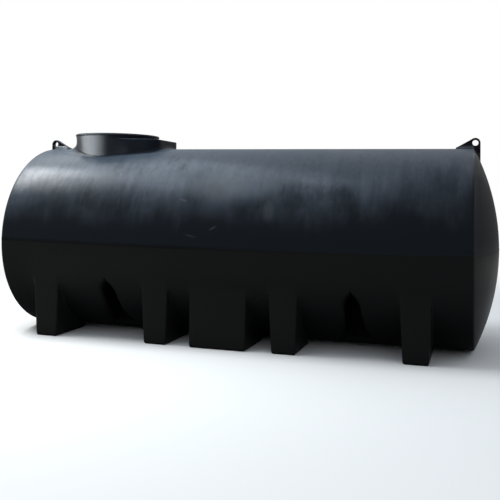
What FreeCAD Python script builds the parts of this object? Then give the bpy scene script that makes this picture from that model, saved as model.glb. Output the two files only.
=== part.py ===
import FreeCAD, Part
import math
import os

# A horizontal water tank moulded in one skin of black polyethylene, lying on moulded feet.
# Millimetres. x runs along the tank, y across it, and z up from the ground.
# The hatch is towards -x. The front is the -y side, and the rear mirrors it.

# Barrel and ends
barrel_radius = 1000.0
barrel_length = 4800.0
wall = 14.0
belly_clearance = 5.0
end_rise = 240.0
crease_radius = 30.0

# Feet: four on each side, tapered towards the ground
foot_end_distance = 500.0
foot_block_gap = 260.0
foot_toe_width = 234.0
foot_toe_inset = 120.0
foot_side_draft = 2.6
foot_front_draft = 3.3
foot_tail = 300.0
foot_edge_radius = 20.0

# Centre block between the two middle feet
block_width = 575.0
block_inset = 105.0
block_side_draft = 0.8

# Arched pockets in the flank, midway between each pair of feet
pocket_height = 615.0
pocket_half_width = 75.0
pocket_shoulder = 430.0
pocket_mouth_half_width = 165.0
pocket_mouth_height = 80.0
pocket_back = 350.0
arch_fullness = 0.66
apex_growth = 2.0
flare_share = 0.28

# Manway: a low collar that widens towards its rim, and a loose lid
hatch_end_distance = 800.0
neck_rim_radius = 470.0
neck_flare = 14.0
neck_height = 133.0
neck_root_radius = 55.0
lid_overhang = 5.0
lid_thickness = 22.0
lid_edge_radius = 6.0
lid_spigot_depth = 30.0
lid_clearance = 3.0

# Ledge beside the manway
ledge_length = 145.0
ledge_half_width = 400.0
ledge_height = 95.0
ledge_corner_radius = 150.0
ledge_edge_radius = 20.0

# Lifting lugs on the crown at both ends
lug_thickness = 50.0
lug_eye_overhang = 10.0
lug_eye_height = 60.0
lug_eye_radius = 50.0
lug_hole_radius = 30.0
lug_slope_start = 195.0

# How the wall is divided: angles past the manway and the feet, and the panels between them
crown_margin = 2.0
haunch_margin = 4.0
side_panels = ("shoulder", "side", "flank")

# Worked out from the sizes above
axis_height = barrel_radius + belly_clearance
crown_height = axis_height + barrel_radius
half_length = barrel_length / 2
inner_radius = barrel_radius - wall
end_sphere_radius = (barrel_radius ** 2 + end_rise ** 2) / (2 * end_rise)
end_sphere_x = half_length + end_rise - end_sphere_radius
crease_x = end_sphere_x + math.sqrt(
    (end_sphere_radius - crease_radius) ** 2 - (barrel_radius - crease_radius) ** 2)
foot_outer_offset = half_length - foot_end_distance
foot_inner_offset = block_width / 2 + foot_block_gap + foot_toe_width / 2
foot_toe_reach = barrel_radius - foot_toe_inset
block_reach = barrel_radius - block_inset
feet_x = [-foot_outer_offset, -foot_inner_offset, foot_inner_offset, foot_outer_offset]
pocket_x = (foot_inner_offset + foot_outer_offset) / 2
block_top = axis_height
foot_top_reach = foot_toe_reach + axis_height * math.tan(math.radians(foot_front_draft))
foot_top_width = foot_toe_width + 2 * axis_height * math.tan(math.radians(foot_side_draft))
block_top_width = block_width + 2 * axis_height * math.tan(math.radians(block_side_draft))
hatch_offset = half_length - hatch_end_distance
neck_base_radius = neck_rim_radius - neck_flare
neck_foot = axis_height + math.sqrt(barrel_radius ** 2 - neck_rim_radius ** 2) - 2 * neck_root_radius
lid_seat = crown_height + neck_height
lid_radius = neck_rim_radius + lid_overhang
lug_eye_offset = half_length + lug_eye_overhang
far_length = 2 * barrel_length

Vector = FreeCAD.Vector
parts = {}


def on_wall(angle, radius, x=0.0):
    """Point on a circle round the tank's axis: 0 is the crown, 90 the front, 180 the belly."""
    turn = math.radians(angle)
    return Vector(x, -radius * math.sin(turn), axis_height + radius * math.cos(turn))


def wall_panel(angle_from, angle_to, x_from, x_to):
    """A stretch of the barrel's wall between two angles and two places along the tank."""
    middle = (angle_from + angle_to) / 2
    outer = [on_wall(a, barrel_radius, x_from) for a in (angle_from, middle, angle_to)]
    inner = [on_wall(a, inner_radius, x_from) for a in (angle_to, middle, angle_from)]
    edges = [Part.Arc(*outer).toShape(),
             Part.LineSegment(outer[2], inner[0]).toShape(),
             Part.Arc(*inner).toShape(),
             Part.LineSegment(inner[2], outer[0]).toShape()]
    return Part.Face(Part.Wire(edges)).extrude(Vector(x_to - x_from, 0, 0))


def barrel_solid(radius):
    """A plain cylinder on the tank's axis, longer than the barrel."""
    return Part.makeCylinder(radius, far_length, Vector(-far_length / 2, 0, axis_height), Vector(1, 0, 0))


def box(x_from, x_to, y_from, y_to, z_from, z_to):
    corner = Vector(x_from, y_from, z_from)
    return Part.makeBox(x_to - x_from, y_to - y_from, z_to - z_from, corner)


def mirrored(shape, across):
    """The same shape on the other side of the plane through the origin."""
    return shape.mirror(Vector(0, 0, 0), across)


def round_edges(solid, radius, skip_height):
    """Round every edge of a block but those in its open top."""
    edges = [e for e in solid.Edges if e.BoundBox.ZMin < skip_height - 1]
    return solid.makeFillet(radius, edges)


def end_profile_points(inset):
    """Crease and crown arcs of an end, seen from the side, inset from the outer skin."""
    knuckle = crease_radius - inset
    crown = end_sphere_radius - inset
    knuckle_height = barrel_radius - crease_radius
    lean = math.atan2(knuckle_height, crease_x - end_sphere_x)
    start = Vector(crease_x, 0, axis_height + knuckle_height + knuckle)
    half = (math.pi / 2 + lean) / 2
    middle = Vector(crease_x + knuckle * math.cos(half), 0,
                    axis_height + knuckle_height + knuckle * math.sin(half))
    meet = Vector(end_sphere_x + crown * math.cos(lean), 0, axis_height + crown * math.sin(lean))
    swell = Vector(end_sphere_x + crown * math.cos(lean / 2), 0,
                   axis_height + crown * math.sin(lean / 2))
    tip = Vector(end_sphere_x + crown, 0, axis_height)
    return start, middle, meet, swell, tip


def end_cap():
    """The domed end towards +x, with a tight crease where it meets the barrel."""
    out = end_profile_points(0.0)
    into = end_profile_points(wall)
    edges = [Part.Arc(out[0], out[1], out[2]).toShape(),
             Part.Arc(out[2], out[3], out[4]).toShape(),
             Part.LineSegment(out[4], into[4]).toShape(),
             Part.Arc(into[4], into[3], into[2]).toShape(),
             Part.Arc(into[2], into[1], into[0]).toShape(),
             Part.LineSegment(into[0], out[0]).toShape()]
    profile = Part.Face(Part.Wire(edges))
    return profile.revolve(Vector(0, 0, axis_height), Vector(1, 0, 0), 360)


def tank_envelope():
    """The barrel with both ends as one solid, to seat the lugs on."""
    out = end_profile_points(0.0)
    root = Vector(0, 0, axis_height)
    edges = [Part.LineSegment(root, Vector(0, 0, crown_height)).toShape(),
             Part.LineSegment(Vector(0, 0, crown_height), out[0]).toShape(),
             Part.Arc(out[0], out[1], out[2]).toShape(),
             Part.Arc(out[2], out[3], out[4]).toShape(),
             Part.LineSegment(out[4], root).toShape()]
    half = Part.Face(Part.Wire(edges)).revolve(root, Vector(1, 0, 0), 360)
    return half.fuse(mirrored(half, Vector(1, 0, 0))).removeSplitter()


def tapered_block(x_centre, toe_width, top_width, toe_reach, top_reach, inset):
    """A block from the ground up into the barrel, inset on every face but its open top."""
    wires = []
    for height, width, reach in ((0.0, toe_width, toe_reach), (block_top, top_width, top_reach)):
        x0 = x_centre - width / 2 + inset
        x1 = x_centre + width / 2 - inset
        y0 = -reach + inset
        y1 = -foot_tail - inset
        z = max(height, inset)
        corners = [Vector(x0, y0, z), Vector(x1, y0, z), Vector(x1, y1, z), Vector(x0, y1, z)]
        wires.append(Part.makePolygon(corners + corners[:1]))
    solid = Part.makeLoft(wires, True, True)
    return round_edges(solid, foot_edge_radius - inset, block_top)


def foot_blank(x_centre, inset=0.0):
    return tapered_block(x_centre, foot_toe_width, foot_top_width, foot_toe_reach,
                         foot_top_reach, inset)


def block_blank(inset=0.0):
    return tapered_block(0.0, block_width, block_top_width, block_reach, block_reach, inset)


def hollow_foot(blank, core):
    """A hollow foot that opens upwards into the tank."""
    return blank.cut(core).cut(barrel_solid(inner_radius))


def pocket_outline(x_centre, grow):
    """A pointed arch that flares towards the belly, grown outwards all round."""
    half = pocket_half_width + grow
    mouth_half = pocket_mouth_half_width + grow
    apex = Vector(0, 0, pocket_height + apex_growth * grow)
    shoulder = Vector(half, 0, pocket_shoulder)
    mouth = Vector(mouth_half, 0, pocket_mouth_height)
    foot = Vector(mouth_half, 0, -pocket_mouth_height)
    arch_mid = Vector(arch_fullness * half, 0, (apex.z + shoulder.z) / 2)
    flare_mid = Vector(half + flare_share * (mouth_half - half), 0, (shoulder.z + mouth.z) / 2)
    right = [Part.Arc(apex, arch_mid, shoulder).toShape(),
             Part.Arc(shoulder, flare_mid, mouth).toShape(),
             Part.LineSegment(mouth, foot).toShape()]
    left = [edge.mirror(Vector(0, 0, 0), Vector(1, 0, 0)) for edge in right]
    across = Part.LineSegment(foot, Vector(-foot.x, 0, foot.z)).toShape()
    wire = Part.Wire(Part.__sortEdges__(right + [across] + left))
    wire.translate(Vector(x_centre, 0, 0))
    return wire


def pocket_blank(x_centre, grow):
    """The arch carried back into the tank, and past the skin in front."""
    wire = pocket_outline(x_centre, grow)
    start = -barrel_radius - wall
    wire.translate(Vector(0, start, 0))
    return Part.Face(wire).extrude(Vector(0, -pocket_back + grow - start, 0))


def neck_cone(inset):
    """The manway's collar as a solid cone that widens upwards, inset from its outer skin."""
    flare = neck_flare / neck_height
    low_radius = neck_base_radius - flare * (crown_height - neck_foot)
    return Part.makeCone(low_radius - inset, neck_rim_radius - inset, lid_seat - neck_foot,
                         Vector(-hatch_offset, 0, neck_foot), Vector(0, 0, 1))


def neck_blank():
    """The collar on a stretch of the barrel, flared into the crown by a rounded root."""
    reach = neck_rim_radius + 3 * neck_root_radius
    barrel = Part.makeCylinder(barrel_radius, 2 * reach,
                               Vector(-hatch_offset - reach, 0, axis_height), Vector(1, 0, 0))
    # The cylinder's seam is turned down to the belly, away from the collar
    barrel.rotate(Vector(0, 0, axis_height), Vector(1, 0, 0), 180)
    joined = barrel.fuse(neck_cone(0.0))
    root = [e for e in joined.Edges if on_crown_and_cone(e)]
    return joined.makeFillet(neck_root_radius, root)


def on_crown_and_cone(edge):
    """True for an edge where the collar meets the barrel's outer skin."""
    if edge.BoundBox.ZMax < axis_height:
        return False
    spots = edge.discretize(9)
    off = [abs(math.hypot(p.y, p.z - axis_height) - barrel_radius) for p in spots]
    away = [abs(math.hypot(p.x + hatch_offset, p.y)) for p in spots]
    return max(off) < 0.1 and max(away) < neck_rim_radius + 1 and min(away) > neck_base_radius / 2


def lid():
    """A flat lid with a rounded rim and a register that drops into the collar."""
    at = Vector(-hatch_offset, 0, lid_seat)
    plate = Part.makeCylinder(lid_radius, lid_thickness, at)
    top = [e for e in plate.Edges if e.BoundBox.ZMin > lid_seat + lid_thickness - 1]
    plate = plate.makeFillet(lid_edge_radius, top)
    outer = neck_base_radius - wall - lid_clearance
    below = at - Vector(0, 0, lid_spigot_depth)
    ring = Part.makeCylinder(outer, lid_spigot_depth, below)
    hollow = Part.makeCylinder(outer - wall, lid_spigot_depth, below)
    return plate.fuse(ring.cut(hollow)).removeSplitter()


def ledge_blank(inset):
    """The ledge as a solid block with round outer corners, inset from its outer skin."""
    x_end = -hatch_offset + neck_rim_radius + ledge_length - inset
    half = ledge_half_width - inset
    top = crown_height + ledge_height - inset
    solid = box(-hatch_offset, x_end, -half, half, axis_height, top)
    corners = [e for e in solid.Edges
               if e.BoundBox.XMin > x_end - 1 and e.BoundBox.ZLength > top - axis_height - 1]
    solid = solid.makeFillet(ledge_corner_radius - inset, corners)
    rim = [e for e in solid.Edges
           if e.BoundBox.ZMin > top - 1 and e.BoundBox.XMax > 1 - hatch_offset]
    return solid.makeFillet(ledge_edge_radius - inset, rim)


def ledge(neck):
    """The low hollow ledge that runs on from the collar, away from the near end."""
    return ledge_blank(0.0).cut(ledge_blank(wall)).cut(neck)


def lug(envelope):
    """A lifting lug at the +x end: an upright plate with an eye, seated on crown and dome."""
    eye = Vector(lug_eye_offset, 0, crown_height + lug_eye_height)
    start = Vector(half_length - lug_slope_start, 0, crown_height)
    along = start - eye
    reach = along.Length
    swing = math.acos(lug_eye_radius / reach)
    base_angle = math.atan2(along.z, along.x) % (2 * math.pi)
    touch_angle = base_angle - swing
    touch = eye + Vector(lug_eye_radius * math.cos(touch_angle), 0,
                         lug_eye_radius * math.sin(touch_angle))
    top = eye + Vector(lug_eye_radius * math.cos(touch_angle / 2), 0,
                       lug_eye_radius * math.sin(touch_angle / 2))
    side = eye + Vector(lug_eye_radius, 0, 0)
    low = Vector(side.x, 0, axis_height)
    under = Vector(start.x, 0, axis_height)
    edges = [Part.LineSegment(under, start).toShape(),
             Part.LineSegment(start, touch).toShape(),
             Part.Arc(touch, top, side).toShape(),
             Part.LineSegment(side, low).toShape(),
             Part.LineSegment(low, under).toShape()]
    face = Part.Face(Part.Wire(edges))
    face.translate(Vector(0, -lug_thickness / 2, 0))
    plate = face.extrude(Vector(0, lug_thickness, 0))
    hole = Part.makeCylinder(lug_hole_radius, 2 * lug_thickness,
                             eye - Vector(0, lug_thickness, 0), Vector(0, 1, 0))
    return plate.cut(hole).cut(envelope)


def both_sides(name, shape):
    """Keep a front piece and its mirror image at the rear."""
    parts[name.replace("SIDE", "front")] = shape
    parts[name.replace("SIDE", "rear")] = mirrored(shape, Vector(0, 1, 0))


# Ends
right_end = end_cap()
parts["end_right"] = right_end
parts["end_left"] = mirrored(right_end, Vector(1, 0, 0))

# Feet, centre blocks and pocket linings
feet = []
for number, x in enumerate(feet_x, 1):
    blank = foot_blank(x)
    feet.append(blank)
    both_sides("foot_SIDE_%d" % number, hollow_foot(blank, foot_blank(x, wall)))
centre = block_blank()
both_sides("centre_block_SIDE", hollow_foot(centre, block_blank(wall)))

pockets = []
for number, x in enumerate((-pocket_x, pocket_x), 1):
    case = pocket_blank(x, wall)
    pockets.append(case)
    lining = case.cut(pocket_blank(x, 0.0)).common(barrel_solid(barrel_radius))
    both_sides("pocket_SIDE_%d" % number, lining)

# Wall: the crown with the manway hole, panels down each side, and the belly
foot_top_angle = 180 - math.degrees(math.asin(foot_toe_reach / barrel_radius))
foot_tail_angle = 180 - math.degrees(math.asin(foot_tail / barrel_radius))
haunch_from = foot_top_angle + haunch_margin
haunch_to = foot_tail_angle - haunch_margin
front_cutters = feet + [centre] + pockets
rear_cutters = [mirrored(cutter, Vector(0, 1, 0)) for cutter in front_cutters]
bore = neck_cone(wall)
root_reach = (neck_rim_radius + neck_root_radius) / barrel_radius
crown_to = math.degrees(math.asin(root_reach)) + crown_margin
panel_angle = (haunch_from - crown_to) / len(side_panels)

parts["wall_crown"] = wall_panel(-crown_to, crown_to, -crease_x, crease_x).cut(bore)
for step, name in enumerate(side_panels):
    start = crown_to + step * panel_angle
    panel = wall_panel(start, start + panel_angle, -crease_x, crease_x)
    both_sides("wall_%s_SIDE" % name, panel.cut(front_cutters))

belly = wall_panel(haunch_to, 360 - haunch_to, -crease_x, crease_x)
parts["wall_belly"] = belly.cut(front_cutters + rear_cutters)

stops = [-crease_x] + sorted(feet_x + [-pocket_x, 0.0, pocket_x]) + [crease_x]
for number in range(1, len(stops)):
    panel = wall_panel(haunch_from, haunch_to, stops[number - 1], stops[number])
    both_sides("wall_haunch_SIDE_%d" % number, panel.cut(front_cutters))

# Manway, its lid and the ledge beside it
neck_solid = neck_blank()
parts["manway_neck"] = neck_solid.cut(barrel_solid(barrel_radius)).cut(bore)
parts["manway_lid"] = lid()
parts["hatch_ledge"] = ledge(neck_solid.fuse(barrel_solid(barrel_radius)))

# Lifting lugs
envelope = tank_envelope()
right_lug = lug(envelope)
parts["lifting_lug_right"] = right_lug
parts["lifting_lug_left"] = mirrored(right_lug, Vector(1, 0, 0))

os.makedirs("parts", exist_ok=True)
total = 0.0
for name, shape in parts.items():
    shape.exportStep("parts/%s.step" % name)
    total += shape.Volume
    print(name, "solids", len(shape.Solids), "valid", shape.isValid(), "litres",
          round(shape.Volume / 1e6, 2))
print("nodes", len(parts), "solid volume in cubic metres", round(total / 1e9, 4))
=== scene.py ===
import math

import bmesh
import bpy
import numpy as np
from mathutils import Matrix, Vector


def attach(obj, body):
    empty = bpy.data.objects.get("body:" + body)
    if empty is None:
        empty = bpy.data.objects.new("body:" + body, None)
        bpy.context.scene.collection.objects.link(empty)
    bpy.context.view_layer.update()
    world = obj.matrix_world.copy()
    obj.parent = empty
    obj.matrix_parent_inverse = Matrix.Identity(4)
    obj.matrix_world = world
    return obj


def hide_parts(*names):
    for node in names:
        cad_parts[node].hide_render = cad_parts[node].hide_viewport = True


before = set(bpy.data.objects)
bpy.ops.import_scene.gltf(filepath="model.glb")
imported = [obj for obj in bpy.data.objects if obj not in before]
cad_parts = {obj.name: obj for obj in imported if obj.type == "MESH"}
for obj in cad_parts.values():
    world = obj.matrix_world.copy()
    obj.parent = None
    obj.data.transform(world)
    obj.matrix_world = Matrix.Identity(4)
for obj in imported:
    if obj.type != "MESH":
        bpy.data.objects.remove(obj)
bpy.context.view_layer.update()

# A black polyethylene tank, moulded in one skin, lying on moulded feet. Metres.
# x runs along the tank, y across it with the front at -y, and z up from the ground.

# Barrel and ends
axis_height = 1.005
barrel_radius = 1.0
half_length = 2.4
end_rise = 0.24
crease_radius = 0.03
wall = 0.014
dome_rings = (0.97, 0.93, 0.87, 0.80, 0.72, 0.64, 0.56, 0.48, 0.40, 0.32, 0.24, 0.16, 0.08, 0.02,
              0.0)

# The seam where the mould's halves meet stands a little proud. Its widths are in degrees round the
# barrel. It dips towards the middle of the tank, and so does the skin within a few degrees of it.
seam_height = 0.0015
skin_radius = barrel_radius - seam_height
seam_half_width = 0.6
seam_crest = 0.2
seam_dip = 0.024
seam_dip_reach = 2.45
seam_dip_within = 12.0
seam_dip_fade = 9.0

# The largest share of a wall that one rounded corner may take
corner_share = 0.45

# Feet and centre block: place along the tank, half the toe's width, reach of the toe and drafts in
# degrees. Their side walls lean out where a face fades into the barrel.
foot_outer = 1.9
foot_inner = 0.6645
foot_half_toe = 0.117
foot_reach = 0.88
foot_front_draft = 3.3
foot_side_draft = 2.6
block_half_toe = 0.2875
block_reach = 0.895
block_side_draft = 0.8
toe_edge = 0.020
tail_angles = (16.4, 18.6)
feet_below = 75.0
side_edge = 0.020
side_root = 0.028
top_blend = 0.030
fade_spread = 0.022
fade_step = 0.045

# Arched pockets: the apex, then heights with half widths, and how the recess meets the barrel
pocket_left = -1.215
pocket_right = 1.310
pocket_apex = 0.612
pocket_shoulder = (0.430, 0.078)
pocket_mouth = (0.080, 0.165)
pocket_arch_fullness = 0.82
pocket_flare_share = 0.28
pocket_back = 0.35
pocket_tip = 0.009
pocket_edge = 0.045
pocket_brow = 0.090
pocket_opening = 16.0
pocket_ceiling_blend = 0.030
pocket_fade_depth = 0.05
pocket_least_depth = 0.04

# Manway. Its root is full where the barrel is level beside it, and crisper at the front and rear,
# between two slopes of the barrel in degrees.
hatch_place = -1.6
rim_radius = 0.470
rim_height = 2.138
neck_lean = 14.0 / 133.0
neck_root = 0.105
neck_spread = 0.170
rim_edge = 0.006
root_sink = 0.030
root_front_from = 13.0
root_front_to = 28.2
root_front_loss = 0.92

# The manway's lid, with a register ring below it that sits inside the neck
lid_radius = 0.475
lid_top = 2.160
lid_edge = 0.008
lid_gap = 0.001
lid_ring_inset = 0.050
lid_dish = 0.008
register_outer = 0.433
register_inner = 0.419
register_depth = 0.030

# The ledge beside the manway: its end from the manway's middle, and the turn in degrees at which
# its sides leave the collar
ledge_length = 0.640
ledge_side_turn = 75.0
ledge_top = 2.100
ledge_corner = 0.150
ledge_edge = 0.014
ledge_root = 0.055
ledge_spread = 0.075
ledge_start = 0.060
ledge_fillet = 0.012

# Lifting lugs
lug_eye_place = 2.410
lug_eye_height = 2.065
lug_eye_radius = 0.050
lug_hole_radius = 0.030
lug_half_thickness = 0.025
lug_slope_start = 2.205
lug_root = 0.070
lug_flare = 0.060
lug_edge = 0.006
lug_sink = 0.010
lug_depth = 0.004


def smooth_step(value, low, high):
    """0 below low, 1 above high, and an even curve between."""
    t = min(max((value - low) / (high - low), 0.0), 1.0)
    return t * t * (3 - 2 * t)


def soft_max(a, b, blend):
    """The larger of two values, with the change from one to the other rounded."""
    h = max(blend - abs(a - b), 0.0)
    return max(a, b) + h * h / (4 * blend)


def bend(start, corner, end, steps):
    """Points round a corner, both ends among them."""
    points = []
    for k in range(steps + 1):
        t = k / steps
        points.append(tuple((1 - t) ** 2 * p + 2 * t * (1 - t) * q + t * t * r
                            for p, q, r in zip(start, corner, end)))
    return points


def between(start, end, count):
    """Points evenly spaced between two points, both left out."""
    return [tuple(p + (q - p) * k / (count + 1) for p, q in zip(start, end))
            for k in range(1, count + 1)]


def height_at(angle, radius):
    """Height above the ground of a point at an angle from the belly."""
    return axis_height - radius * math.cos(math.radians(angle))


# The moulded skin: sections across the tank's features at one angle from the belly.
# 0 degrees is straight down, 90 the side and 180 the crown.


def face_radius(angle, reach, draft):
    """Distance from the tank's axis to a foot's outer face, with its toe edge rounded."""
    if angle > feet_below:
        return skin_radius
    turn = math.radians(angle)
    down, out = math.cos(turn), math.sin(turn)
    lean = math.tan(math.radians(draft))
    slant = math.hypot(1.0, lean)
    middle_y = reach + toe_edge * lean - toe_edge * slant
    middle_drop = axis_height - toe_edge
    sole_to = math.degrees(math.atan2(middle_y, axis_height))
    front_y = middle_y + toe_edge / slant
    front_drop = middle_drop + toe_edge * lean / slant
    front_from = math.degrees(math.atan2(front_y, front_drop))
    if angle <= sole_to:
        radius = axis_height / down
    elif angle >= front_from:
        radius = (reach + axis_height * lean) / (out + lean * down)
    else:
        along = middle_y * out + middle_drop * down
        off = middle_y ** 2 + middle_drop ** 2 - along ** 2
        radius = along + math.sqrt(max(toe_edge ** 2 - off, 0.0))
    if angle < 60:
        return skin_radius + (radius - skin_radius) * smooth_step(angle, *tail_angles)
    return soft_max(radius, skin_radius, top_blend)


def raised_section(angle, half_toe, reach, front_draft, side_draft):
    """Half of a foot's section: offsets along the tank and radii, from the barrel inwards."""
    top = face_radius(angle, reach, front_draft)
    step = top - skin_radius
    draft = math.tan(math.radians(side_draft))
    spread = fade_spread * max(0.0, 1 - step / fade_step)
    root = (half_toe + draft * height_at(angle, skin_radius) + spread, skin_radius)
    edge = (half_toe + draft * height_at(angle, top) - spread, top)
    length = math.hypot(edge[0] - root[0], edge[1] - root[1])
    along = ((edge[0] - root[0]) / length, (edge[1] - root[1]) / length)
    low = min(side_root, corner_share * length)
    high = min(side_edge, corner_share * length)
    wall_low = (root[0] + along[0] * low, root[1] + along[1] * low)
    wall_high = (edge[0] - along[0] * high, edge[1] - along[1] * high)
    points = bend((root[0] + side_root, skin_radius), root, wall_low, 4)
    points += between(wall_low, wall_high, 1)
    points += bend(wall_high, edge, (edge[0] - side_edge, top), 4)
    return points + [(0.0, top)]


def foot_section(angle):
    return raised_section(angle, foot_half_toe, foot_reach, foot_front_draft, foot_side_draft)


def block_section(angle):
    return raised_section(angle, block_half_toe, block_reach, 0.0, block_side_draft)


def through(points, height):
    """Half width at a height on the curve through three places given as height and half width."""
    total = 0.0
    for i, (z, width) in enumerate(points):
        share = width
        for k, (other, _) in enumerate(points):
            if k != i:
                share *= (height - other) / (z - other)
        total += share
    return total


def pocket_half_width(height):
    """Half width of the arched pocket at a height above the ground."""
    shoulder, half = pocket_shoulder
    mouth, mouth_half = pocket_mouth
    if height >= pocket_apex:
        return pocket_tip
    if height >= shoulder:
        arch = ((pocket_apex, 0.0), ((pocket_apex + shoulder) / 2, pocket_arch_fullness * half),
                (shoulder, half))
        return max(through(arch, height), pocket_tip)
    if height >= mouth:
        flare = ((shoulder, half),
                 ((shoulder + mouth) / 2, half + pocket_flare_share * (mouth_half - half)),
                 (mouth, mouth_half))
        return through(flare, height)
    return mouth_half


def pocket_section(angle):
    """Half of an arched pocket's section: offsets along the tank and radii, from the barrel in."""
    turn = math.radians(angle)
    floor = skin_radius
    if 1.0 < angle < 89.0:
        ceiling = (axis_height - pocket_apex) / math.cos(turn)
        back = pocket_back / math.sin(turn)
        recess = soft_max(ceiling, back, pocket_ceiling_blend)
        floor = -soft_max(-recess, -skin_radius, pocket_brow)
    floor = min(floor, skin_radius)
    depth = skin_radius - floor
    apex_angle = math.degrees(math.acos((axis_height - pocket_apex) / skin_radius))
    width = pocket_half_width(height_at(angle, skin_radius))
    if angle > apex_angle:
        width += (pocket_mouth[1] - width) * smooth_step(angle, apex_angle,
                                                         apex_angle + pocket_opening)
    spread = 0.5 * width * max(0.0, 1 - depth / pocket_fade_depth)

    def lining(share):
        radius = skin_radius - share * depth
        half = width if depth < 1e-6 else min(width, pocket_half_width(height_at(angle, radius)))
        return (half - spread * share, radius)

    first = min(pocket_edge / max(depth, pocket_least_depth), corner_share)
    last = 1 - first
    corner = lining(1.0)
    inset = min(pocket_edge, 0.5 * corner[0])
    points = bend((width + pocket_edge, skin_radius), (width, skin_radius), lining(first), 4)
    points += [lining(first + (last - first) * k / 6) for k in range(1, 6)]
    points += bend(lining(last), corner, (corner[0] - inset, floor), 3)
    return points + [(0.0, floor)]


def end_profile():
    """The right end from the barrel to the middle of the dome: places along the tank and radii."""
    sphere = (barrel_radius ** 2 + end_rise ** 2) / (2 * end_rise)
    sphere_x = half_length + end_rise - sphere
    knuckle_r = barrel_radius - crease_radius
    crease_x = sphere_x + math.sqrt((sphere - crease_radius) ** 2 - knuckle_r ** 2)
    lean = math.atan2(knuckle_r, crease_x - sphere_x)
    knuckle = crease_radius - seam_height
    crown = sphere - seam_height
    points = []
    for k in range(6):
        turn = math.pi / 2 + (lean - math.pi / 2) * k / 5
        points.append((crease_x + knuckle * math.cos(turn), knuckle_r + knuckle * math.sin(turn)))
    for share in dome_rings:
        points.append((sphere_x + crown * math.cos(lean * share), crown * math.sin(lean * share)))
    return points


end_curve = end_profile()
features = ((-foot_outer, foot_section), (pocket_left, pocket_section),
            (-foot_inner, foot_section), (0.0, block_section), (foot_inner, foot_section),
            (pocket_right, pocket_section), (foot_outer, foot_section))


def skin_row(angle):
    """The skin from the left end to the right at one angle: places along the tank and radii."""
    row = [(-x, r) for x, r in reversed(end_curve)]
    sections = {}
    for place, section in features:
        if section not in sections:
            sections[section] = section(angle)
        half = sections[section]
        left = [(place - offset, radius) for offset, radius in half]
        right = [(place + offset, radius) for offset, radius in reversed(half[:-1])]
        row += between(row[-1], left[0], 3) + left + right
    return row + between(row[-1], end_curve[0], 3) + end_curve


# Degrees and steps of each stretch, from the crown down the front to the belly: close together
# round the mould's seam, the tops of feet and pockets, the toes, and the tails
stretches = ((89.0, 30), (2.0, 10), (20.0, 10), (7.0, 14), (18.0, 12), (5.0, 14), (15.0, 9),
             (10.0, 18), (14.0, 6))


def new_mesh(name, bm):
    """Turn a finished bmesh into an object that stands at the origin."""
    mesh = bpy.data.meshes.new(name)
    bm.to_mesh(mesh)
    bm.free()
    mesh.shade_smooth()
    obj = bpy.data.objects.new(name, mesh)
    bpy.context.scene.collection.objects.link(obj)
    return obj


def moulded_skin():
    """Spin the tank's outline about its axis, then press feet, block and pockets into shape."""
    angles = [180.0]
    for span, steps in stretches:
        first = angles[-1]
        angles += [first - span * k / steps for k in range(1, steps + 1)]
    table = np.array([skin_row(a) for a in angles])
    outline = table[0]

    bm = bmesh.new()
    chain = [bm.verts.new((x, 0.0, axis_height + r)) for x, r in outline]
    last = chain + [bm.edges.new(pair) for pair in zip(chain, chain[1:])]
    for span, steps in stretches + stretches[::-1]:
        spun = bmesh.ops.spin(bm, geom=last, cent=(0, 0, axis_height), axis=(1, 0, 0),
                              dvec=(0, 0, 0), angle=math.radians(span), steps=steps,
                              use_merge=False, use_duplicate=False)
        last = spun["geom_last"]
    bmesh.ops.remove_doubles(bm, verts=bm.verts, dist=0.0001)
    bmesh.ops.recalc_face_normals(bm, faces=bm.faces)

    skin = new_mesh("moulded_skin", bm)
    press_skin(skin.data, np.array(angles), table)
    return skin


def press_skin(mesh, angles, table):
    """Move each point of the spun skin to its place on the mould."""
    co = np.empty(len(mesh.vertices) * 3)
    mesh.vertices.foreach_get("co", co)
    co = co.reshape(-1, 3)
    outline = table[0]
    side = np.where(co[:, 1] > 0, 1.0, -1.0)
    turn = np.degrees(np.arctan2(np.abs(co[:, 1]), axis_height - co[:, 2]))
    column = np.searchsorted((outline[1:, 0] + outline[:-1, 0]) / 2, co[:, 0])
    row = np.searchsorted(-(angles[1:] + angles[:-1]) / 2, -turn)
    x, radius = table[row, column, 0], table[row, column, 1]

    # The raised seam keeps its width on the domes, where the rows draw together
    off = np.radians(angles[row] - 90.0)
    narrow = np.radians(1.0)
    wide = np.arcsin(np.minimum(narrow / np.maximum(radius, 0.001), 0.8))
    inside = np.abs(off) <= narrow
    outer = wide + (np.abs(off) - narrow) * (np.pi / 2 - wide) / (np.pi / 2 - narrow)
    off = np.where(inside, off / narrow * wide, np.sign(off) * outer)
    crest = np.clip((seam_half_width - np.abs(angles[row] - 90.0))
                    / (seam_half_width - seam_crest), 0, 1)
    # The mould's halves meet a little lower towards the middle of the tank
    dip = seam_dip * np.clip(1 - (co[:, 0] / seam_dip_reach) ** 2, 0, 1)
    share = np.clip((np.radians(seam_dip_within) - np.abs(off)) / np.radians(seam_dip_fade), 0, 1)
    off = off - dip * share * share * (3 - 2 * share)
    slope = np.gradient(outline[:, 1], outline[:, 0])
    # At the domes' middles the skin stands square to the tank's length
    slope[0], slope[-1] = 1e6, -1e6
    lean = 1 / np.hypot(1.0, slope[column])
    x = x - crest * seam_height * slope[column] * lean
    radius = radius + crest * seam_height * lean

    co[:, 0] = x
    co[:, 1] = side * radius * np.cos(off)
    co[:, 2] = axis_height + radius * np.sin(off)
    mesh.vertices.foreach_set("co", co.ravel())
    mesh.update()


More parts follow.
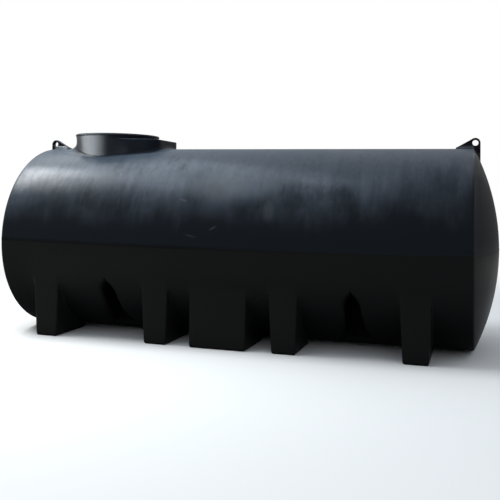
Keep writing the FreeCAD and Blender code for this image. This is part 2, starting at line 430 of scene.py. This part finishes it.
def skin_height(x, y):
    """Height of the skin over a place on the tank's upper half."""
    radius = skin_radius
    if abs(x) > end_curve[0][0]:
        radius = 0.0
        for (x0, r0), (x1, r1) in zip(end_curve, end_curve[1:]):
            if x0 <= abs(x) <= x1:
                radius = r0 + (r1 - r0) * (abs(x) - x0) / (x1 - x0)
    return axis_height + math.sqrt(max(radius ** 2 - y ** 2, 0.0))


def ring_tube(levels, turns, closed, place):
    """Spin a chain of points into a tube, then move each ring's points to where they belong."""
    bm = bmesh.new()
    chain = [bm.verts.new((1.0, 0.0, level)) for level in range(levels)]
    edges = [bm.edges.new(pair) for pair in zip(chain, chain[1:])]
    if closed:
        edges.append(bm.edges.new((chain[-1], chain[0])))
    bmesh.ops.spin(bm, geom=chain + edges, cent=(0, 0, 0), axis=(0, 0, 1), dvec=(0, 0, 0),
                   angle=2 * math.pi, steps=turns, use_merge=True, use_duplicate=False)
    placed = {}
    for vert in bm.verts:
        turn = round(math.atan2(vert.co.y, vert.co.x) / (2 * math.pi) * turns) % turns
        if turn not in placed:
            placed[turn] = place(2 * math.pi * turn / turns)
        vert.co = placed[turn][round(vert.co.z)]
    bmesh.ops.remove_doubles(bm, verts=bm.verts, dist=0.00005)
    bmesh.ops.recalc_face_normals(bm, faces=bm.faces)
    return bm


def cone_at(height):
    """Radius of the manway's collar at a height."""
    return rim_radius - (rim_height - height) * neck_lean


def ledge_outline(turn):
    """Distance from the manway's middle to the ledge's edge, or to the collar where it has none.

    The ledge's sides leave the collar at a tangent and meet its end face in round corners.
    """
    shelf = cone_at(ledge_top)
    turn = abs(math.remainder(turn, 2 * math.pi))
    side = math.radians(ledge_side_turn)
    if turn >= side:
        return shelf
    corner_x = ledge_length - ledge_corner
    corner_y = (shelf - ledge_corner - corner_x * math.cos(side)) / math.sin(side)
    if turn <= math.atan2(corner_y, ledge_length):
        return ledge_length / math.cos(turn)
    if turn >= math.atan2(corner_y + ledge_corner * math.sin(side),
                          corner_x + ledge_corner * math.cos(side)):
        return shelf / math.cos(side - turn)
    middle = corner_x * math.cos(turn) + corner_y * math.sin(turn)
    return middle + math.sqrt(ledge_corner ** 2 - corner_x ** 2 - corner_y ** 2 + middle ** 2)


def manway_collar():
    """The collar round the manway and the ledge that runs on from it, flared into the crown."""
    inner_top = rim_radius - wall
    shelf = cone_at(ledge_top)

    def place(turn):
        out = (math.cos(turn), math.sin(turn))
        reach = ledge_outline(turn)
        run = reach - shelf
        ledge = smooth_step(run, 0.0, ledge_start)

        def crown_at(radius):
            return skin_height(hatch_place + radius * out[0], radius * out[1])

        def side_at(height):
            return reach + (cone_at(height) - shelf) * (1 - ledge)

        meet = reach
        for _ in range(12):
            meet = side_at(crown_at(meet))
        foot = crown_at(meet)
        slope = math.asin(min(abs(meet * out[1]) / skin_radius, 1.0))
        front = smooth_step(math.degrees(slope), root_front_from, root_front_to)
        ease = 1 - root_front_loss * front
        high = foot + ease * (neck_root + (ledge_root - neck_root) * ledge)
        low = meet + ease * (neck_spread + (ledge_spread - neck_spread) * ledge)
        inset = min(ledge_edge, corner_share * run)
        under = ledge_top - ledge_edge
        section = [(inner_top, rim_height)]
        section += bend((rim_radius - rim_edge, rim_height), (rim_radius, rim_height),
                        (cone_at(rim_height - rim_edge), rim_height - rim_edge), 3)
        section += [(cone_at(rim_height - 1.5 * rim_edge), rim_height - 1.5 * rim_edge)]
        section += bend((cone_at(ledge_top + ledge_fillet), ledge_top + ledge_fillet),
                        (shelf, ledge_top),
                        (shelf + min(ledge_fillet, corner_share * run), ledge_top), 4)
        section += between(section[-1], (reach - inset, ledge_top), 2)
        section += bend((reach - inset, ledge_top), (reach, ledge_top),
                        (side_at(under), under), 4)
        section += between(section[-1], (side_at(high), high), 3)
        section += bend((side_at(high), high), (meet, foot), (low, crown_at(low)), 10)
        # Then under the skin, and up inside the neck
        section += [(low + 0.004, crown_at(low + 0.004)),
                    (low + 0.010, crown_at(low + 0.010) - 0.006),
                    (meet, foot - root_sink), (cone_at(foot) - wall, foot - root_sink)]
        section += between(section[-1], (inner_top, rim_height), 2)
        return [Vector((hatch_place + r * out[0], r * out[1], z)) for r, z in section]

    return new_mesh("manway_collar", ring_tube(len(place(0.0)), 180, True, place))


def manway_lid():
    """A flat lid with a rounded rim, a raised ring and a shallow dish inside it."""
    ring = lid_radius - lid_ring_inset
    dish = lid_top - lid_dish
    rest = rim_height + lid_gap
    register_foot = rim_height - register_depth
    section = [(0.0, lid_top - 0.003), (0.14, lid_top - 0.0036), (0.28, lid_top - 0.0055)]
    section += bend((ring - 0.030, dish), (ring - 0.012, dish), (ring - 0.006, dish + 0.004), 3)
    section += bend((ring - 0.006, dish + 0.004), (ring, lid_top), (ring + 0.012, lid_top), 3)[1:]
    section += bend((lid_radius - lid_edge, lid_top), (lid_radius, lid_top),
                    (lid_radius, lid_top - lid_edge), 4)
    section += bend((lid_radius, rim_height + 0.006), (lid_radius, rest),
                    (lid_radius - 0.004, rest), 2)
    section += [(register_outer, rest), (register_outer, register_foot),
                (register_inner, register_foot), (register_inner, rest), (0.20, rest), (0.0, rest)]

    def place(turn):
        out = (math.cos(turn), math.sin(turn))
        return [Vector((hatch_place + r * out[0], r * out[1], z)) for r, z in section]

    return new_mesh("manway_cover", ring_tube(len(section), 120, False, place))


def lug_reach(turn):
    """Distance from the eye's middle to the lug's edge: round the eye, down the slope, the end."""
    start = (lug_slope_start - lug_eye_place, barrel_radius + axis_height - lug_eye_height)
    slope = math.atan2(start[1], start[0]) % (2 * math.pi)
    touch = slope - math.acos(lug_eye_radius / math.hypot(*start))
    if turn > 1.5 * math.pi:
        turn -= 2 * math.pi
    away = abs(turn - min(max(turn, 0.0), touch))
    reach = lug_eye_radius / max(math.cos(away), 0.1)
    distance = lug_hole_radius
    while distance < reach:
        x = lug_eye_place + math.cos(turn) * distance
        if lug_eye_height + math.sin(turn) * distance < skin_height(x, 0.0) - lug_depth:
            return distance
        distance += 0.001
    return reach


def lifting_lug(name, sign):
    """An upright lug with an open eye, its edges rounded and its foot flared into the skin."""
    edge = lug_edge
    half = lug_half_thickness

    def place(turn):
        reach = lug_reach(turn)
        ahead, up = math.cos(turn), math.sin(turn)

        def at(distance, side):
            x = lug_eye_place + ahead * distance
            z = lug_eye_height + up * distance
            over = z - skin_height(x, 0.0)
            flare = lug_flare * (1 - smooth_step(over, -lug_sink, lug_root)) ** 3
            return Vector((sign * x, side + math.copysign(flare, side) if side else 0.0, z))

        room = reach - lug_hole_radius - 2 * edge
        section = [(lug_hole_radius, 0.0)]
        section += bend((lug_hole_radius, -half + edge), (lug_hole_radius, -half),
                        (lug_hole_radius + edge, -half), 3)
        section += [(lug_hole_radius + edge + room * s, -half) for s in (0.2, 0.4, 0.6, 0.8)]
        section += bend((reach - edge, -half), (reach, -half), (reach, -half + edge), 3)
        section += [(reach, 0.0)] + [(d, -s) for d, s in reversed(section[1:])]
        return [at(d, s) for d, s in section]

    return new_mesh(name, ring_tube(len(place(0.0)), 96, True, place))


class Value:
    """A shader value, so that sums on it add the Math nodes they need."""

    def __init__(self, finish, socket):
        self.finish = finish
        self.socket = socket

    def maths(self, operation, a, b):
        return self.finish.node("ShaderNodeMath", {"operation": operation}, {0: a, 1: b})["Value"]

    def __add__(self, other):
        return self.maths("ADD", self, other)

    def __radd__(self, other):
        return self.maths("ADD", other, self)

    def __sub__(self, other):
        return self.maths("SUBTRACT", self, other)

    def __rsub__(self, other):
        return self.maths("SUBTRACT", other, self)

    def __mul__(self, other):
        return self.maths("MULTIPLY", self, other)

    def __rmul__(self, other):
        return self.maths("MULTIPLY", other, self)

    def at_least(self, other):
        return self.maths("MAXIMUM", self, other)


class Outputs:
    """The outputs of a node by name, as values."""

    def __init__(self, finish, node):
        self.finish = finish
        self.made = node

    def __getitem__(self, name):
        return Value(self.finish, self.made.outputs[name])

    def colour(self):
        """The colour that a Mix node gives: its outputs share one name."""
        return Value(self.finish, self.made.outputs[2])


class Finish:
    """A material or world under construction."""

    def __init__(self, owner):
        owner.use_nodes = True
        self.owner = owner
        self.tree = owner.node_tree
        self.tree.nodes.clear()

    def node(self, kind, settings=None, inputs=None):
        """Add a node: its settings first, then the values or links of its sockets."""
        made = self.tree.nodes.new(kind)
        for key, value in (settings or {}).items():
            setattr(made, key, value)
        for key, value in (inputs or {}).items():
            socket = made.inputs[key]
            if isinstance(value, Value):
                self.tree.links.new(value.socket, socket)
            else:
                socket.default_value = value
        return Outputs(self, made)

    def mix(self, share, first, second):
        """Blend two colours."""
        return self.node("ShaderNodeMix", {"data_type": "RGBA"},
                         {0: share, 6: first, 7: second}).colour()

    def between(self, value, low, high, smooth=True):
        """0 where a value is below low, 1 where it is above high."""
        kind = "SMOOTHSTEP" if smooth else "LINEAR"
        return self.node("ShaderNodeMapRange", {"interpolation_type": kind},
                         {"Value": value, "From Min": low, "From Max": high})["Result"]


scrape_tone = (0.13, 0.135, 0.14, 1.0)
dusty_tone = (0.066, 0.061, 0.050, 1.0)
dust_tone = (0.070, 0.084, 0.100, 1.0)
# Painted shade for places that face down
underside_shade_tone = (0.0010, 0.0012, 0.0014, 1.0)
# Painted shade inside the pockets
pocket_shade_tone = (0.0006, 0.0006, 0.0007, 1.0)
seam_tone = (0.0015, 0.0018, 0.0020, 1.0)


def polyethylene(name, lower, upper, faded, shine, coat_low, coat_high, rough,
                 bloom_from=0.14, bloom_full=0.78, polished=None, moulded=False):
    """Black moulded polyethylene, faded and dusty where it faces the sky.

    The colours below and above the mould's seam come first, then the faded one; below the seam
    the colour holds painted shade and above it a painted bluish sheen. The coat's two weights are
    for unfaded and faded places.
    """
    finish = Finish(bpy.data.materials.new(name))
    place = finish.node("ShaderNodeTexCoord")["Object"]
    spot = finish.node("ShaderNodeSeparateXYZ", None, {0: place})
    along, across, height = spot["X"], spot["Y"], spot["Z"]
    facing = finish.node("ShaderNodeSeparateXYZ", None,
                         {0: finish.node("ShaderNodeNewGeometry")["Normal"]})["Z"]

    def pattern(scale, stretch=(1.0, 1.0, 1.0), detail=3.0, roughness=0.5, shift=0.0):
        at = finish.node("ShaderNodeMapping", {"vector_type": "POINT"},
                         {"Vector": place, "Scale": stretch,
                          "Location": (shift, 0.4 * shift, -0.7 * shift)})["Vector"]
        return finish.node("ShaderNodeTexNoise", {"noise_dimensions": "3D"},
                           {"Vector": at, "Scale": scale, "Detail": detail,
                            "Roughness": roughness})["Fac"]

    cloud = pattern(1.1, detail=5.0, roughness=0.55, shift=2.3)
    drift = pattern(3.4, (1.0, 0.7, 0.7), 4.0, 0.55)
    wash = pattern(11.0, (1.0, 0.16, 0.16), 3.0, 0.55)
    streaks = pattern(34.0, (1.0, 0.11, 0.11), 2.0, 0.6)
    scuffs = pattern(24.0, (1.0, 0.5, 0.5), 6.0, 0.7)
    grain = pattern(900.0, detail=2.0)
    peel = pattern(120.0, detail=3.0)
    waves = pattern(2.2, detail=1.0)

    front = finish.between(across, 0.0, -0.2)

    def patch(x, z, length, width, tilt, strength):
        """A soft patch on the front of the barrel, round a place, broken up by the noise."""
        cosine, sine = math.cos(math.radians(tilt)), math.sin(math.radians(tilt))
        ahead, up = along - x, height - z
        u = (ahead * cosine + up * sine) * (1 / length)
        v = (up * cosine - ahead * sine) * (1 / width)
        broken = (wash - 0.5) * 2.4 + (scuffs - 0.5) * 2.4
        return finish.between(u * u + v * v + broken, 2.2, -0.6) * front * strength

    weather_and_painted_falloff = (cloud - 0.5) * 0.60 + (drift - 0.5) * 0.34 + (wash - 0.5) * (drift * 0.30)
    # Painted shade: the fade and its coat weaken towards the right end, which is darker, as the
    # light falls off there
    weather_and_painted_falloff = weather_and_painted_falloff + (streaks - 0.5) * 0.05 - finish.between(along, 1.3, 2.4) * 0.18
    if moulded:
        for values in patches:
            weather_and_painted_falloff = weather_and_painted_falloff + patch(*values)

    bloom_and_painted_falloff = finish.between(facing + weather_and_painted_falloff, bloom_from, bloom_full)
    bloom_and_painted_falloff = bloom_and_painted_falloff * (0.45 + scuffs * 0.60 + wash * 0.34 + streaks * 0.10)
    dust = finish.between(facing + (drift - 0.5) * 0.2, 0.78, 1.0)
    marks = finish.between(scuffs, 0.62, 0.78) * finish.between(cloud, 0.42, 0.62)
    # Painted shade: places that face down are painted darker, and made rougher
    under = finish.between(facing, -0.15, -0.80)

    tone = finish.mix(bloom_and_painted_falloff, (*upper, 1.0), (*faded, 1.0))
    gloss = rough + (cloud - 0.5) * 0.20 + (wash - 0.5) * 0.08 + dust * 0.15 + under * 0.25
    coat = (coat_low + bloom_and_painted_falloff * (coat_high - coat_low)) * (1.0 - dust * 0.7)
    coat = coat * (0.27 + drift * 0.6 + wash * 0.36 + streaks * 0.14 + scuffs * 0.3)
    if polished:
        coat = coat * finish.between(along, *polished)
    if moulded:
        # The seam: painted shade below it, darker and greyer than the painted bluish sheen above,
        # and a faint line on it
        bow = along * (1 / seam_dip_reach)
        off = height + (1.0 - bow * bow).at_least(0.0) * seam_dip - axis_height
        tone = finish.mix(finish.between(off, -0.012, 0.012), (*lower, 1.0), tone)
        line = 1.0 - finish.between(off * off, 0.00001, 0.0006)
        line = line * (1.0 - finish.between(along, 0.6, 2.2) * 0.9)
        faint = cloud * (1.1 - finish.between(along, -0.6, 1.4))
        tone = finish.mix(line * faint, tone, seam_tone)
        gloss = gloss + line * 0.15
        coat = coat * (1.0 - line)
        # Painted shade: the insides of the pockets are painted nearly black
        drop = height - axis_height
        deep = 1.0 - finish.between(across * across + drop * drop, 0.86, 0.965)
        painted_pocket_shade = deep * finish.between(along * along, 3.6, 2.6)
        tone = finish.mix(painted_pocket_shade, tone, pocket_shade_tone)
        gloss = gloss + painted_pocket_shade * 0.25
        # The left end's lower part and the right dome's upper part are duller, its foot glossier
        gloss = gloss + finish.between(along, -1.7, -2.3) * finish.between(height, 1.2, 0.75) * 0.3
        dome = finish.between(along, 2.38, 2.46)
        gloss = gloss + dome * finish.between(height, 0.85, 1.15) * 0.17
        gloss = gloss - dome * finish.between(height, 0.70, 0.4) * 0.06
    tone = finish.mix(under * 0.8, tone, underside_shade_tone)
    tone = finish.mix(dust * 0.5, tone, dust_tone)
    tone = finish.mix(marks * bloom_and_painted_falloff * 0.25, tone, scrape_tone)
    if moulded:
        for values in scrapes:
            tone = finish.mix(patch(*values), tone, scrape_tone)
        for values in dusty_spots:
            tone = finish.mix(patch(*values), tone, dusty_tone)
    relief = waves * 0.006 + peel * 0.00012 + grain * 0.00003 + marks * 0.00010
    bump = finish.node("ShaderNodeBump", None,
                       {"Height": relief, "Strength": 0.6, "Distance": 1.0})["Normal"]
    shader = finish.node("ShaderNodeBsdfPrincipled", None,
                         {"Base Color": tone, "Roughness": gloss, "Normal": bump,
                          "Specular IOR Level": shine, "Coat Weight": coat,
                          "Coat Roughness": 0.30, "Coat IOR": 1.5})["BSDF"]
    finish.node("ShaderNodeOutputMaterial", None, {"Surface": shader})
    return finish.owner


# Paler and darker patches on the front, small scrapes and dusty spots. Each has its place along
# the tank, height, half length, half width, tilt and strength.
patches = ((0.13, 1.58, 0.34, 0.15, 0.0, 0.20), (-0.64, 1.62, 0.20, 0.08, 0.0, 0.18),
           (0.515, 1.35, 0.05, 0.09, 0.0, 0.14), (1.22, 1.47, 0.18, 0.11, -40.0, -0.14),
           (0.28, 1.37, 0.20, 0.10, 0.0, -0.06), (1.43, 1.66, 0.05, 0.18, 0.0, 0.16),
           (-1.22, 1.44, 0.36, 0.13, 0.0, -0.11), (0.85, 1.72, 0.22, 0.07, 15.0, 0.12),
           (0.82, 1.52, 0.17, 0.13, 0.0, -0.11), (-0.95, 1.84, 0.45, 0.12, 0.0, -0.24),
           (-0.18, 1.39, 0.34, 0.12, 0.0, 0.09))
scrapes = ((-0.38, 1.443, 0.040, 0.009, -15.0, 0.24), (-0.024, 1.180, 0.034, 0.010, 30.0, 0.14),
           (-0.256, 1.096, 0.060, 0.008, -12.0, 0.09))
dusty_spots = ((-0.02, 1.58, 0.24, 0.13, 0.0, 0.22), (-1.32, 1.66, 0.16, 0.12, 0.0, 0.16),
               (0.515, 1.36, 0.04, 0.08, 0.0, 0.16))

skin_finish = polyethylene("tank_polyethylene", (0.0060, 0.0063, 0.0059), (0.0060, 0.0079, 0.0104),
                           (0.029, 0.039, 0.053), 0.034, 0.0, 0.42, 0.42, moulded=True)
neck_finish = polyethylene("neck_polyethylene", (0.0060, 0.0080, 0.0110), (0.0060, 0.0080, 0.0110),
                           (0.030, 0.039, 0.050), 0.022, 0.22, 0.3, 0.36, 0.60, 1.0,
                           polished=(-1.3, -1.8))
lid_finish = polyethylene("lid_polyethylene", (0.0190, 0.0225, 0.0290), (0.0190, 0.0225, 0.0290),
                          (0.030, 0.036, 0.045), 0.045, 0.12, 0.3, 0.50)
lug_finish = polyethylene("lug_polyethylene", (0.0045, 0.0052, 0.0070), (0.0045, 0.0052, 0.0070),
                          (0.026, 0.032, 0.041), 0.045, 0.0, 0.4, 0.45)

skin = moulded_skin()
collar = manway_collar()
cover = manway_lid()
lugs = [lifting_lug("lifting_eye_left", -1.0), lifting_lug("lifting_eye_right", 1.0)]

nodes = sorted(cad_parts)
skin_nodes = [n for n in nodes
              if n.startswith(("wall_", "end_", "foot_", "centre_block", "pocket_"))]
pieces = ((skin, "tank_skin", skin_finish, skin_nodes),
          (collar, "neck_skin", neck_finish, ["manway_neck", "hatch_ledge"]),
          (cover, "lid_plastic", lid_finish, ["manway_lid"]),
          (lugs[0], "lug_plastic", lug_finish, ["lifting_lug_left"]),
          (lugs[1], "lug_plastic", lug_finish, ["lifting_lug_right"]))
for piece, slot, finish, stood_for in pieces:
    piece.data.materials.append(finish)
    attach(piece, "root")
    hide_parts(*stood_for)


def studio_floor():
    """A plain pale floor that keeps the tank's shadow and fades to white far away."""
    bm = bmesh.new()
    bmesh.ops.create_grid(bm, x_segments=8, y_segments=8, size=60.0)
    floor = new_mesh("studio_floor", bm)
    finish = Finish(bpy.data.materials.new("pale_floor"))
    fade_from, fade_to = 3.5, 9.0
    place = finish.node("ShaderNodeTexCoord")["Object"]
    far = finish.node("ShaderNodeVectorMath", {"operation": "LENGTH"}, {0: place})["Value"]
    path = finish.node("ShaderNodeLightPath")
    seen = path["Is Camera Ray"] + path["Is Glossy Ray"] + path["Is Transmission Ray"]
    fade = finish.between(far, fade_from, fade_to) * finish.between(seen, 0.4, 0.6, False)
    matt = finish.node("ShaderNodeBsdfDiffuse", None, {"Color": (0.90, 0.865, 0.82, 1.0)})["BSDF"]
    white = finish.node("ShaderNodeEmission", None, {"Color": (1, 1, 1, 1), "Strength": 1.0})
    both = finish.node("ShaderNodeMixShader", None, {0: fade, 1: matt, 2: white["Emission"]})
    finish.node("ShaderNodeOutputMaterial", None, {"Surface": both["Shader"]})
    floor.data.materials.append(finish.owner)


def studio_world():
    """White where it is seen or mirrored, and a soft bluish light elsewhere."""
    world = bpy.data.worlds.new("studio")
    bpy.context.scene.world = world
    finish = Finish(world)
    path = finish.node("ShaderNodeLightPath")
    seen = path["Is Camera Ray"] + path["Is Glossy Ray"] + path["Is Transmission Ray"]
    soft = finish.node("ShaderNodeBackground", None,
                       {"Color": (0.80, 0.89, 1.0, 1.0), "Strength": 0.65})
    white = finish.node("ShaderNodeBackground", None, {"Color": (1, 1, 1, 1), "Strength": 1.0})
    both = finish.node("ShaderNodeMixShader", None,
                       {0: finish.between(seen, 0.4, 0.6, False), 1: soft["Background"],
                        2: white["Background"]})
    finish.node("ShaderNodeOutputWorld", None, {"Surface": both["Shader"]})


def soft_light(name, place, aim, width, height, power, tint, only=()):
    """A rectangular soft light that looks at a point, for all pieces or for the gloss of a few."""
    lamp = bpy.data.lights.new(name, "AREA")
    lamp.shape = "RECTANGLE"
    lamp.size, lamp.size_y = width, height
    lamp.energy = power
    lamp.color = tint
    obj = bpy.data.objects.new(name, lamp)
    obj.location = place
    obj.visible_camera = False
    if only:
        obj.visible_diffuse = False
        lamp.spread = math.radians(96.0)
        lit = bpy.data.collections.new(name)
        obj.light_linking.receiver_collection = lit
        for piece in only:
            lit.objects.link(piece)
    obj.rotation_euler = (Vector(aim) - Vector(place)).to_track_quat("-Z", "Y").to_euler()
    bpy.context.scene.collection.objects.link(obj)


studio_floor()
studio_world()
soft_light("overhead", (-2.1, -0.9, 6.0), (-1.4, -0.3, 1.0), 5.0, 3.2, 203.0, (0.76, 0.88, 1.0))
soft_light("glare", (-5.4, -1.5, 6.0), (-2.7, -2.85, 1.7), 3.0, 0.9, 360.0, (0.94, 0.98, 1.0))
soft_light("back_glare", (-5.1, 2.3, 6.0), (-2.4, 2.0, 1.9), 2.8, 1.2, 50.0, (0.90, 0.96, 1.0))
soft_light("collar_sheen", (-4.35, -2.48, 1.75), (-1.6, 0.0, 2.0), 6.0, 1.6, 330.0,
           (0.88, 0.95, 1.0), only=(collar, cover))


def studio_camera():
    """The photograph's viewpoint, with a shift because the photograph is a crop."""
    place = (2.4509, -7.4943, 1.5316)
    yaw, pitch, roll = 0.2828, 0.0500, 0.0161
    focal_pixels, frame_pixels = 715.48, 500.0
    ahead = Vector((-math.sin(yaw) * math.cos(pitch), math.cos(yaw) * math.cos(pitch),
                    math.sin(pitch)))
    level = Vector((math.cos(yaw), math.sin(yaw), 0.0))
    upright = level.cross(ahead)
    right = math.cos(roll) * level + math.sin(roll) * upright
    up = math.cos(roll) * upright - math.sin(roll) * level
    lens = bpy.data.cameras.new("camera")
    lens.sensor_width = 36.0
    lens.lens = lens.sensor_width * focal_pixels / frame_pixels
    lens.shift_x = -0.044
    lens.shift_y = -0.1866
    camera = bpy.data.objects.new("camera", lens)
    turn = Matrix((right, up, -ahead)).transposed().to_4x4()
    camera.matrix_world = Matrix.Translation(place) @ turn
    bpy.context.scene.collection.objects.link(camera)
    bpy.context.scene.camera = camera


studio_camera()
bpy.context.scene.view_settings.view_transform = "Standard"
